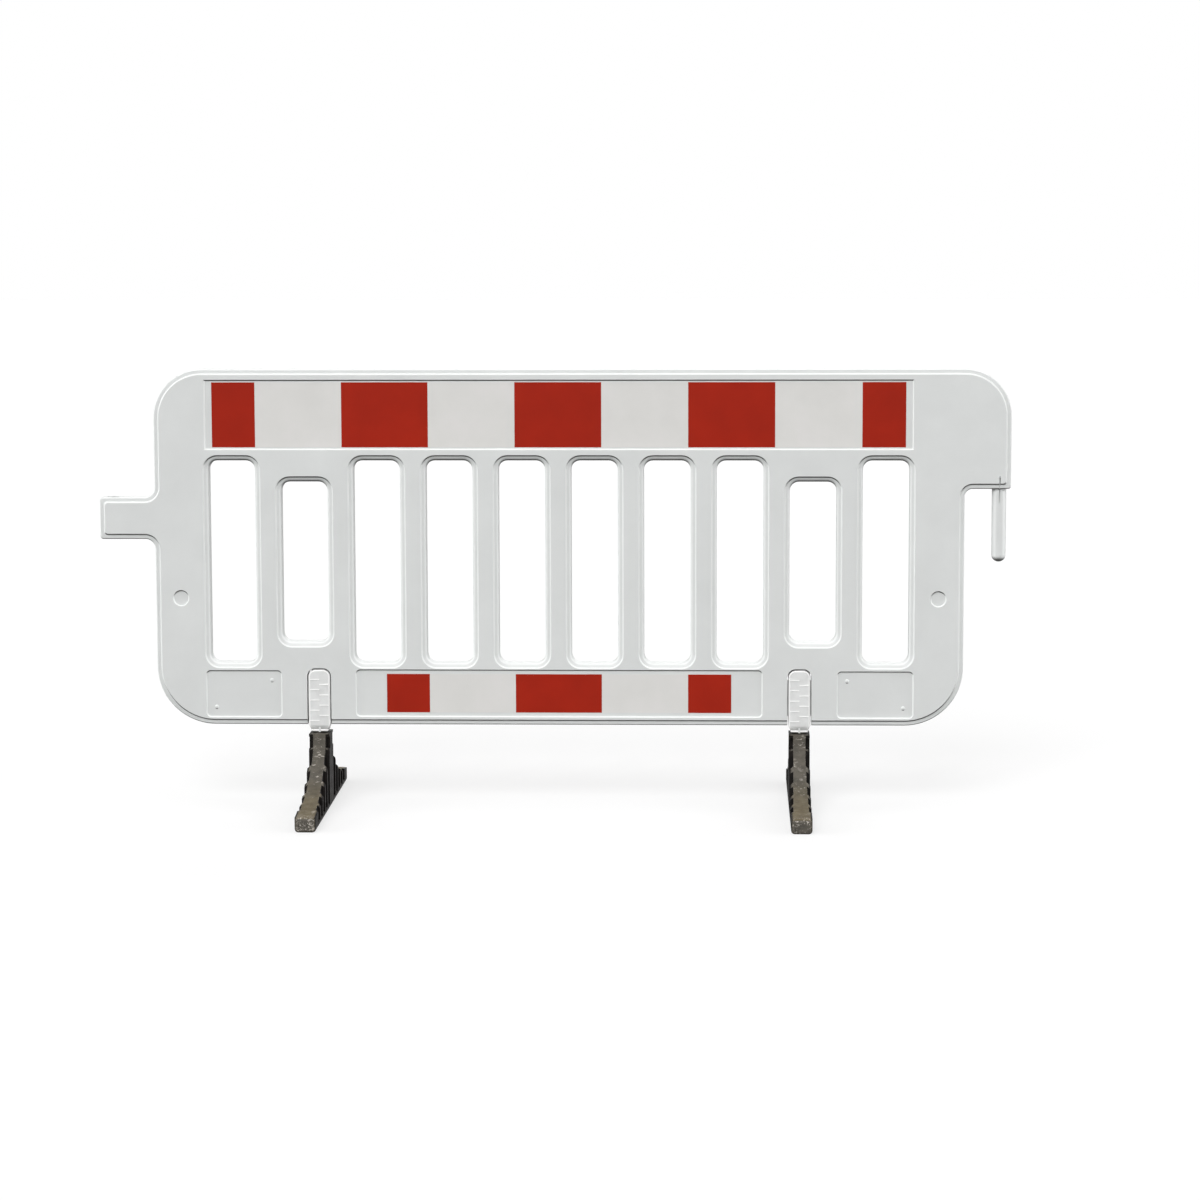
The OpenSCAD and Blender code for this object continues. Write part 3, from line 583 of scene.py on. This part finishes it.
def recessCutters(r, middle):
    x0, z0, x1, z1 = r["upper"]
    tools = [recessCutter("upperField", x0 + middle, z0, x1 + middle, z1, 0, r["upperWall"])]
    x0, z0, x1, z1 = r["lower"]
    tools.append(recessCutter("lowerField", x0 + middle, z0, x1 + middle, z1, r["round"], r["lowerWall"]))
    for side in (-1, 1):
        x = side * r["labels"] + middle
        tools.append(recessCutter("labelField", x - r["labelHalf"], r["labelLow"], x + r["labelHalf"], r["labelHigh"],
                                  r["round"], r["lowerWall"]))
        x = side * r["dimples"] + middle
        tool = rod("dimple", r["dimpleRound"] + r["lowerWall"][0][0], (x, -outside, r["dimpleZ"]),
                   (x, -r["lowerWall"][0][1], r["dimpleZ"]), 48, sideways)
        editing(tool)
        sinkIn(tool, r["lowerWall"])
        tools.append(tool)
    return joined(tools)


seats = {
    "face": 0.027, "bays": 0.558, "bayHalf": 0.028, "bayTop": 0.3275, "bayRound": 0.019, "bayFoot": 0.15,
    "bayLip": ((0.0008, 0.0004), (0.0004, 0.0008)),  # the bay's soft edge, in steps of width and depth
    "channelHalf": 0.0342, "channelLow": 0.2158, "channelHigh": 0.298, "channelDeep": 0.0072,
    "eye": -1.032, "eyeHalf": 0.02005, "eyeLow": 0.6, "eyeHigh": 0.74,
    "pin": 1.016, "stemRound": 0.01405, "stemFoot": 0.74, "stemTop": 0.809,
    "markHalf": 0.0013, "markDeep": 0.009, "markFoot": 0.73, "dowelZ": 0.775, "dowelRound": 0.00205,
}


def bayCutters(s, middle):
    soft = sum(width for width, deep in s["bayLip"])
    tools = []
    for side in (-1, 1):
        x = side * s["bays"] + middle
        tool = block("bay", (x - s["bayHalf"] - soft, -outside, s["bayFoot"]),
                     (x + s["bayHalf"] + soft, -s["face"], s["bayTop"] + soft))
        editing(tool)
        for corner in (x - s["bayHalf"] - soft, x + s["bayHalf"] + soft):
            roundEdges(tool, cornerEdge(corner, s["bayTop"] + soft), s["bayRound"] + soft, 10)
        pickFaces(tool, lambda c, n: n.y > 0.9)
        for width, deep in s["bayLip"]:
            bpy.ops.mesh.inset(thickness=width, depth=deep, use_even_offset=True)
        push((0, s["face"] + past - sum(deep for width, deep in s["bayLip"]), 0))
        done()
        tools.append(tool)
    return joined(tools)


def panelFront():
    s, r, m = seats, recess, panel["middle"]
    shell = panelBlank(panel)
    cut(shell, slotCutter(panel))
    cut(shell, recessCutters(r, m))
    cut(shell, bayCutters(s, m))
    channels = [block("channel", (side * s["bays"] + m - s["channelHalf"], -s["channelDeep"], s["channelLow"]),
                      (side * s["bays"] + m + s["channelHalf"], past, s["channelHigh"])) for side in (-1, 1)]
    cut(shell, joined(channels))
    eye, pin = s["eye"] + m, s["pin"] + m
    cut(shell, block("eyeSeat", (eye - s["eyeHalf"], -s["eyeHalf"], s["eyeLow"]),
                     (eye + s["eyeHalf"], past, s["eyeHigh"])))
    cut(shell, rod("stemSeat", s["stemRound"], (pin, 0, s["stemFoot"]), (pin, 0, s["stemTop"]), 64))
    cut(shell, block("mark", (pin - s["markHalf"], -outside, s["markFoot"]),
                     (pin + s["markHalf"], s["markDeep"] - s["face"], s["dowelZ"])))
    cut(shell, rod("dowelSeat", s["dowelRound"], (pin, -outside, s["dowelZ"]), (pin, past, s["dowelZ"]), 32,
                   sideways))
    for side in (-1, 1):
        for corner in (-1, 1):
            x = side * r["labels"] + m - side * corner * (r["labelHalf"] - r["studs"])
            z = (r["labelLow"] + r["labelHigh"]) / 2 + corner * ((r["labelHigh"] - r["labelLow"]) / 2 - r["studs"])
            bpy.ops.object.select_all(action="DESELECT")
            bpy.ops.mesh.primitive_uv_sphere_add(segments=40, ring_count=28, radius=r["studRound"],
                                                 location=(x, r["studRound"] - r["studHigh"] - r["floor"], z))
            stud = bpy.context.object
            bpy.ops.object.transform_apply(location=True, rotation=True, scale=True)
            cut(shell, stud, "UNION")
    cleaned(shell)
    return shell


front = panelFront()
rear = flipped(copyOf(front, "panelRear"), 1)
for shell, node in ((front, "shell_front"), (rear, "shell_rear")):
    dressed(shell, whitePlastic)
    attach(shell, "panel")
    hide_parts(node)
print("panel made:", len(front.data.polygons), "faces")


column = {
    "places": {"left": -0.547, "right": 0.569}, "half": 0.0255, "deep": 0.027, "low": 0.178, "high": 0.325,
    "slopeTop": 0.1955, "slopeEnd": 0.1842, "lipTop": 0.1818, "slopeIn": 0.0036, "taper": 0.0053,
    "topRound": 0.0165, "edge": 0.0038, "melt": 6e-5,
    "keyHalf": 0.034, "keyDeep": 0.007, "keyLow": 0.216, "keyHigh": 0.298,
    "leftSteps": (0.3010, 0.2770, 0.2525, 0.2285, 0.2045), "rightSteps": (0.2890, 0.2645, 0.2405, 0.2165),
    "stepOut": 0.0012, "stepHigh": 0.0048, "stepHalf": 0.0218, "lipOut": 0.5,
    "ribHalf": 0.0022, "ribTop": 0.1897, "ribIn": 0.0004, "ribFoot": 0.0005,
    "bore": 0.0083, "nutSeat": 0.0122, "nutLow": 0.238,
}


def makeColumn(c):
    face = c["deep"] - c["stepOut"]  # the plain face, behind the steps
    bar = block("columnModel", (-c["half"], -face, c["slopeTop"]), (c["half"], face, c["high"]))
    editing(bar)
    for z0, z1, narrow, thin in ((c["slopeTop"], c["slopeEnd"], c["taper"], c["slopeIn"]),
                                 (c["slopeEnd"], c["lipTop"], 0, -c["slopeIn"] * c["lipOut"]),
                                 (c["lipTop"], c["low"], 0, 0)):
        pickFaces(bar, lambda m, n: n.z < -0.9)
        push((0, 0, z1 - z0))
        for side in (-1, 1):
            pickPoints(bar, lambda p: p.x * side > 0.01 and near(p.z, z1))
            bpy.ops.transform.translate(value=(-side * narrow, 0, 0))
            pickPoints(bar, lambda p: p.y * side > 0.01 and near(p.z, z1))
            bpy.ops.transform.translate(value=(0, -side * thin, 0))
    for side in (-1, 1):
        roundEdges(bar, cornerEdge(side * c["half"], c["high"]), c["topRound"], 10)
    done()
    softEdges(bar, c["edge"], 5, 60)  # 60 degrees leaves the slope's own edges sharp
    editing(bar)
    bpy.ops.mesh.select_all(action="SELECT")
    bpy.ops.mesh.remove_doubles(threshold=c["melt"])
    bpy.ops.mesh.quads_convert_to_tris()  # the bent corner faces cut cleanly as triangles
    done()
    for way in (-1, 1):
        for half, places in ((-1, c["leftSteps"]), (1, c["rightSteps"])):
            for z in places:
                x0, x1 = sorted((0, half * c["stepHalf"] * -way))
                y0, y1 = sorted((way * (face - past), way * c["deep"]))
                step = block("step", (x0, y0, z), (x1, y1, z + c["stepHigh"]))
                editing(step)
                pickPoints(step, lambda p: p.z > z + 0.001 and abs(p.y) > face + 0.0001)
                bpy.ops.transform.translate(value=(0, -way * (c["stepOut"] + 0.0001), 0))  # its top ends in the face
                done()
                cut(bar, step, "UNION")
    ribOut = face - c["ribIn"]
    cut(bar, block("rib", (-c["ribHalf"], -ribOut, c["low"] + c["ribFoot"]), (c["ribHalf"], ribOut, c["ribTop"])),
        "UNION")
    cut(bar, block("keys", (-c["keyHalf"], -c["keyDeep"], c["keyLow"]), (c["keyHalf"], c["keyDeep"], c["keyHigh"])),
        "UNION")
    cut(bar, rod("bore", c["bore"], (0, 0, c["low"] - past), (0, 0, c["nutLow"] + past), 32))
    cut(bar, rod("nutSeat", c["nutSeat"] / math.cos(math.pi / 6), (0, 0, c["nutLow"]), (0, 0, c["high"] + past), 6,
                 (0, 0, math.pi / 2)))
    cleaned(bar)
    return bar


firstColumn = makeColumn(column)
for side, x in column["places"].items():
    bar = copyOf(firstColumn, "column" + side.capitalize(), (x, 0, 0))
    dressed(bar, naturalPlastic, 30)
    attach(bar, "panel")
    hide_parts("column_" + side)
bpy.data.objects.remove(firstColumn)
print("columns made")


foot = {
    "half": 0.024, "long": 0.350, "high": 0.175, "neck": 0.038, "flareHigh": 0.141, "flareLow": 0.023, "fall": 0.128,
    "ridge": 0.0145, "ridgeWide": 0.0188, "ridgeToe": 0.0142, "wideAt": 0.29, "drop": 0.007, "dropEnd": 0.27,
    "hollow": 0.0117, "hollowTop": 0.157, "hollowEnd": 0.92,
    "toeTop": 0.007, "toeCorner": 0.009, "toeLow": 0.0075, "toeSteps": (0.341, 0.344, 0.3465, 0.3485, 0.3496, 0.350),
    "stations": (0.0388, 0.044, 0.305, 0.330), "clear": 0.0006, "toeDrop": 0.001, "aboveSole": 0.01,
    "pocket": 0.039, "pitch": 0.052, "first": 0.060, "pockets": 5, "base": 0.012, "inside": 0.001,
    "draft": 0.0012, "mouth": 0.0005, "mouthOut": 0.004, "pocketTop": 0.2,
    "notchLow": 0.141, "notchHigh": 0.169, "notchDeep": 0.012, "notchEnd": 0.046, "notchIn": 0.0002,
    "notchOut": 0.002,
    "bore": 0.00808, "socket": 0.020, "socketHigh": 0.024, "soft": 0.0018,
}


def roundedOff(y, end, radius):  # how far a round corner has come in at y
    reach = max(0.0, y - (end - radius))
    return radius - math.sqrt(max(0.0, radius ** 2 - reach ** 2))


def flareHeight(f, y):  # a hollow under the neck, then a curve that falls away to the toe
    flare = f["flareLow"] + (f["flareHigh"] - f["flareLow"]) * math.exp(-(y - f["neck"]) / f["fall"])
    if y > f["neck"] + f["hollow"]:
        return flare - roundedOff(y, f["long"], f["toeTop"])
    t = math.sqrt((y - f["neck"]) / f["hollow"])
    end = f["flareHigh"] - f["hollow"] * f["hollowEnd"]
    return (1 - t) ** 2 * f["hollowTop"] + 2 * t * (1 - t) * f["flareHigh"] + t * t * end


def ridgeHalf(f, y):  # the ridge widens towards the toe, and narrows between the toe's round corners
    if y > f["wideAt"]:
        return f["ridgeWide"] + (f["ridgeToe"] - f["ridgeWide"]) * (y - f["wideAt"]) / (f["long"] - f["wideAt"])
    return f["ridge"] + (f["ridgeWide"] - f["ridge"]) * (y - f["neck"]) / (f["wideAt"] - f["neck"])


touch = 1e-4  # how near a point lies to a station that it belongs to


def makeFoot(f):  # pushed out from the neck station by station, to both ends
    body = block("footModel", (-f["half"], -f["neck"], 0), (f["half"], f["neck"], f["high"]))
    editing(body)
    roundEdges(body, lambda a, b: near(a.z, 0) and near(b.z, 0) and near(abs(a.x), f["half"]) and near(a.x, b.x),
               f["toeLow"], 3)
    for plane, way in (((0, 0, f["hollowTop"]), (0, 0, 1)), ((-f["ridge"], 0, 0), (1, 0, 0)),
                       ((f["ridge"], 0, 0), (1, 0, 0))):
        bpy.ops.mesh.select_all(action="SELECT")
        bpy.ops.mesh.bisect(plane_co=plane, plane_no=way)
    steps = [f["neck"], f["neck"] + f["hollow"], *f["stations"], *f["toeSteps"]]
    for k in range(f["pockets"]):  # the stations stand just clear of the pockets' ends
        middle = f["first"] + k * f["pitch"]
        steps += [middle - f["pocket"] / 2 - f["clear"], middle, middle + f["pocket"] / 2 + f["clear"]]
    steps = sorted(steps)
    for way in (-1, 1):
        high, ridge, half, low = f["hollowTop"], f["ridge"], f["half"], 0.0
        for y0, y1 in zip(steps, steps[1:]):
            pickFaces(body, lambda m, n: n.y * way > 0.9 and near(m.y, way * y0, touch) and m.z < high)
            push((0, way * (y1 - y0), 0))
            newHigh, newRidge = flareHeight(f, y1), ridgeHalf(f, y1)
            newHalf = f["half"] - roundedOff(y1, f["long"], f["toeCorner"])
            newLow = roundedOff(y1, f["long"], f["toeLow"])
            pickPoints(body, lambda p: near(p.y, way * y1, touch) and near(p.z, high, touch))
            bpy.ops.transform.translate(value=(0, 0, newHigh - high))
            pickPoints(body, lambda p: near(p.y, way * y1, touch) and p.z < low + f["toeLow"] + touch)
            bpy.ops.transform.translate(value=(0, 0, newLow - low))
            pickPoints(body, lambda p: near(p.y, way * y1, touch) and abs(p.x) > ridge + touch)
            bpy.ops.transform.resize(value=(newHalf / half, 1, 1), center_override=(0, 0, 0))
            for side in (-1, 1):
                pickPoints(body, lambda p: near(p.y, way * y1, touch) and near(p.x, side * ridge, touch))
                bpy.ops.transform.translate(value=(side * (newRidge - ridge), 0, 0))
            high, ridge, half, low = newHigh, newRidge, newHalf, newLow
    for y in steps[1:]:  # the top slopes down from the ridge to the flanks
        half = f["half"] - roundedOff(y, f["long"], f["toeCorner"])
        pickPoints(body, lambda p: near(abs(p.y), y, touch) and near(abs(p.x), half, touch) and p.z > f["aboveSole"])
        bpy.ops.transform.translate(value=(0, 0, -f["drop"] if y < f["dropEnd"] else -f["toeDrop"]))
    done()
    for side in (-1, 1):
        for way in (-1, 1):
            y0, y1 = sorted((way * (f["neck"] - f["notchDeep"]), way * f["notchEnd"]))
            notch = block("notch", (f["ridge"] - f["notchIn"], y0, f["notchLow"]),
                          (f["half"] + f["notchOut"], y1, f["notchHigh"]))
            cut(body, flipped(notch, 0) if side < 0 else notch)
            for k in range(f["pockets"]):
                middle = f["first"] + k * f["pitch"]
                deep = f["half"] - ridgeHalf(f, middle) + f["inside"]
                tool = block("pocket", (f["half"] + f["mouth"], way * middle - f["pocket"] / 2, f["base"]),
                             (f["half"] + f["mouthOut"], way * middle + f["pocket"] / 2, f["pocketTop"]))
                editing(tool)
                pickFaces(tool, lambda m, n: n.x < -0.9)
                push((-f["mouth"], 0, 0))
                bpy.ops.mesh.inset(thickness=f["draft"], depth=deep, use_even_offset=True)
                done()
                cut(body, flipped(tool, 0) if side < 0 else tool)
    cut(body, rod("bore", f["bore"], (0, 0, -past), (0, 0, f["high"] + past), 48))
    cut(body, rod("socket", f["socket"], (0, 0, -past), (0, 0, f["socketHigh"]), 48))
    cleaned(body)
    softEdges(body, f["soft"], 3, 28)
    return body


firstFoot = makeFoot(foot)
for side, x in column["places"].items():
    body = copyOf(firstFoot, "foot" + side.capitalize(), (x, 0, 0))
    dressed(body, footPlastic, 35)
    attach(body, side + "_foot")
    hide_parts("foot_" + side)
bpy.data.objects.remove(firstFoot)
print("feet made")


coupling = {
    "pin": 1.027, "pinRound": 0.0165, "pinLow": 0.577, "pinHigh": 0.746, "stem": 0.014, "stemTop": 0.809,
    "mark": 0.0026, "markLong": 0.033, "markDeep": 0.006, "under": 0.747, "dowelZ": 0.775, "dowel": 0.00205,
    "eye": -1.021, "eyeHalf": 0.020, "eyeRound": 0.0175, "eyeLow": 0.6295, "eyeHigh": 0.7265,
    "flat": 0.0004, "through": 0.03, "pinSoft": 0.0005, "eyeSoft": 0.0007,
}


def makePin(c):
    pin = rod("couplingPin", c["pinRound"], (c["pin"], 0, c["pinLow"]), (c["pin"], 0, c["pinHigh"]), 64)
    editing(pin)
    pickFaces(pin, lambda m, n: n.z > 0.9)
    bpy.ops.mesh.inset(thickness=c["pinRound"] - c["stem"], depth=0)
    push((0, 0, c["stemTop"] - c["pinHigh"]))
    pickEdges(pin, lambda a, b: near(a.z, c["pinLow"]) and near(b.z, c["pinLow"]))
    bpy.ops.mesh.bevel(offset_type="OFFSET", offset=c["pinRound"] - c["flat"], segments=12, profile=0.5,
                       affect="EDGES")  # the round lower end
    done()
    for face in (-1, 1):
        y = face * c["pinRound"]
        cut(pin, block("mark", (c["pin"] - c["mark"] / 2, y - c["markDeep"], c["under"] - c["markLong"]),
                       (c["pin"] + c["mark"] / 2, y + c["markDeep"], c["under"] + past)))
    cut(pin, rod("hole", c["dowel"], (c["pin"], -c["through"], c["dowelZ"]), (c["pin"], c["through"], c["dowelZ"]),
                 24, sideways))
    cleaned(pin)
    softEdges(pin, c["pinSoft"], 2, 40)
    return pin


def makeEye(c):
    eye = block("eyeSleeve", (c["eye"] - c["eyeHalf"], -c["eyeHalf"], c["eyeLow"]),
                (c["eye"] + c["eyeHalf"], c["eyeHalf"], c["eyeHigh"]))
    cut(eye, rod("bore", c["eyeRound"], (c["eye"], 0, c["eyeLow"] - past), (c["eye"], 0, c["eyeHigh"] + past), 64))
    cleaned(eye)
    softEdges(eye, c["eyeSoft"], 3, 40)
    return eye


for piece, node in ((makePin(coupling), "coupling_pin"), (makeEye(coupling), "eye_sleeve")):
    dressed(piece, whitePlastic, 35)
    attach(piece, "panel")
    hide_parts(node)
print("coupling made")

for name, node in nodes.items():  # the pack's own meshes, for the pieces that aren't made again here
    if "film" in name:
        material = filmRed if "red" in name else filmWhite
    elif "column" in name:
        material = naturalPlastic
    elif "foot" in name:
        material = footPlastic
    elif "disc" in name:
        material = discPlastic
    elif name in ("coupling_pin", "eye_sleeve") or "shell" in name:
        material = whitePlastic
    else:
        material = zincSteel
    for place in node.material_slots:
        place.material = material
    if not node.material_slots:
        node.data.materials.append(material)
print("plain pieces coloured")

view = {"place": (0.3925, -8.400, 1.512), "down": 6.96, "yaw": -1.951, "roll": 0.15,
        "pixels": 3648.0, "wide": 1200, "film": 36}  # the lens in pixels of a picture of this width


def makeCamera(v):
    down, yaw, roll = (math.radians(v[k]) for k in ("down", "yaw", "roll"))
    forward = Vector((math.sin(yaw) * math.cos(down), math.cos(yaw) * math.cos(down), -math.sin(down)))
    right = Vector((math.cos(yaw), -math.sin(yaw), 0))
    up = right.cross(forward)
    turnedRight = math.cos(roll) * right - math.sin(roll) * up
    turnedUp = math.sin(roll) * right + math.cos(roll) * up
    lens = bpy.data.cameras.new("photoCamera")
    lens.sensor_width = v["film"]
    lens.lens = v["pixels"] / v["wide"] * v["film"]
    camera = bpy.data.objects.new("photoCamera", lens)
    bpy.context.scene.collection.objects.link(camera)
    camera.matrix_world = Matrix((
        (turnedRight.x, turnedUp.x, -forward.x, v["place"][0]),
        (turnedRight.y, turnedUp.y, -forward.y, v["place"][1]),
        (turnedRight.z, turnedUp.z, -forward.z, v["place"][2]),
        (0, 0, 0, 1)))
    lens.clip_end = 200
    bpy.context.scene.camera = camera


studio = {
    "floor": 60, "lampAway": 6, "bounce": "#5A5A5A", "seen": "#FFFFFF", "glow": 0.65, "ambient": 0.36,
    "lamps": {  # azimuth from the front and height in degrees, strength, softness in degrees
        "frontLamp": (-12, 36, 1.87, 30), "leftLamp": (-78, 8, 2.0, 50), "rightLamp": (78, 8, 2.0, 50),
        "backLamp": (172, 30, 0.9, 50)},
}


def seenDirectly(tree):  # 1 where the camera, gloss or glass looks, 0 for the light that bounces
    path = addNode(tree, "ShaderNodeLightPath")
    first = addNode(tree, "ShaderNodeMath", {0: (path, "Is Camera Ray"), 1: (path, "Is Glossy Ray")},
                    operation="MAXIMUM")
    return addNode(tree, "ShaderNodeMath", {0: (first, 0), 1: (path, "Is Transmission Ray")}, operation="MAXIMUM")


def makeStage(st):
    bpy.ops.object.select_all(action="DESELECT")
    bpy.ops.mesh.primitive_plane_add(size=st["floor"], location=(0, 0, 0))
    floor = bpy.context.object
    floor.name = "studioFloor"
    paper = newMaterial("studioPaper")  # plain matt paper, white to the eye, greyer for the light that it sends back
    tree = paper.node_tree
    seen = seenDirectly(tree)
    tone = addNode(tree, "ShaderNodeMix", {mixFactor: (seen, 0), mixFirst: colour(st["bounce"]),
                                           mixSecond: colour(st["seen"])}, data_type="RGBA")
    matt = addNode(tree, "ShaderNodeBsdfDiffuse", {"Color": (tone, mixResult)})
    glow = addNode(tree, "ShaderNodeEmission", {"Strength": 1})
    share = addNode(tree, "ShaderNodeMath", {0: (seen, 0), 1: st["glow"]}, operation="MULTIPLY")
    surface = addNode(tree, "ShaderNodeMixShader", {0: (share, 0), 1: (matt, "BSDF"), 2: (glow, "Emission")})
    addNode(tree, "ShaderNodeOutputMaterial", {"Surface": (surface, 0)})
    floor.data.materials.append(paper)
    world = bpy.data.worlds.new("studioWorld")
    bpy.context.scene.world = world
    world.use_nodes = True
    tree = world.node_tree
    tree.nodes.clear()
    seen = seenDirectly(tree)
    plain = addNode(tree, "ShaderNodeBackground", {"Color": (1, 1, 1, 1), "Strength": st["ambient"]})
    white = addNode(tree, "ShaderNodeBackground", {"Color": (1, 1, 1, 1), "Strength": 1})
    sky = addNode(tree, "ShaderNodeMixShader", {0: (seen, 0), 1: (plain, "Background"), 2: (white, "Background")})
    addNode(tree, "ShaderNodeOutputWorld", {"Surface": (sky, 0)})
    for name, (around, up, strength, soft) in st["lamps"].items():
        lamp = bpy.data.lights.new(name, "SUN")
        lamp.energy = strength
        lamp.angle = math.radians(soft)
        holder = bpy.data.objects.new(name, lamp)
        bpy.context.scene.collection.objects.link(holder)
        a, e = math.radians(around), math.radians(up)
        toLamp = Vector((math.sin(a) * math.cos(e), -math.cos(a) * math.cos(e), math.sin(e)))
        holder.location = toLamp * st["lampAway"]
        holder.rotation_euler = (-toLamp).to_track_quat("-Z", "Y").to_euler()


makeCamera(view)
makeStage(studio)
bpy.context.scene.view_settings.view_transform = "Standard"
print("stage made")
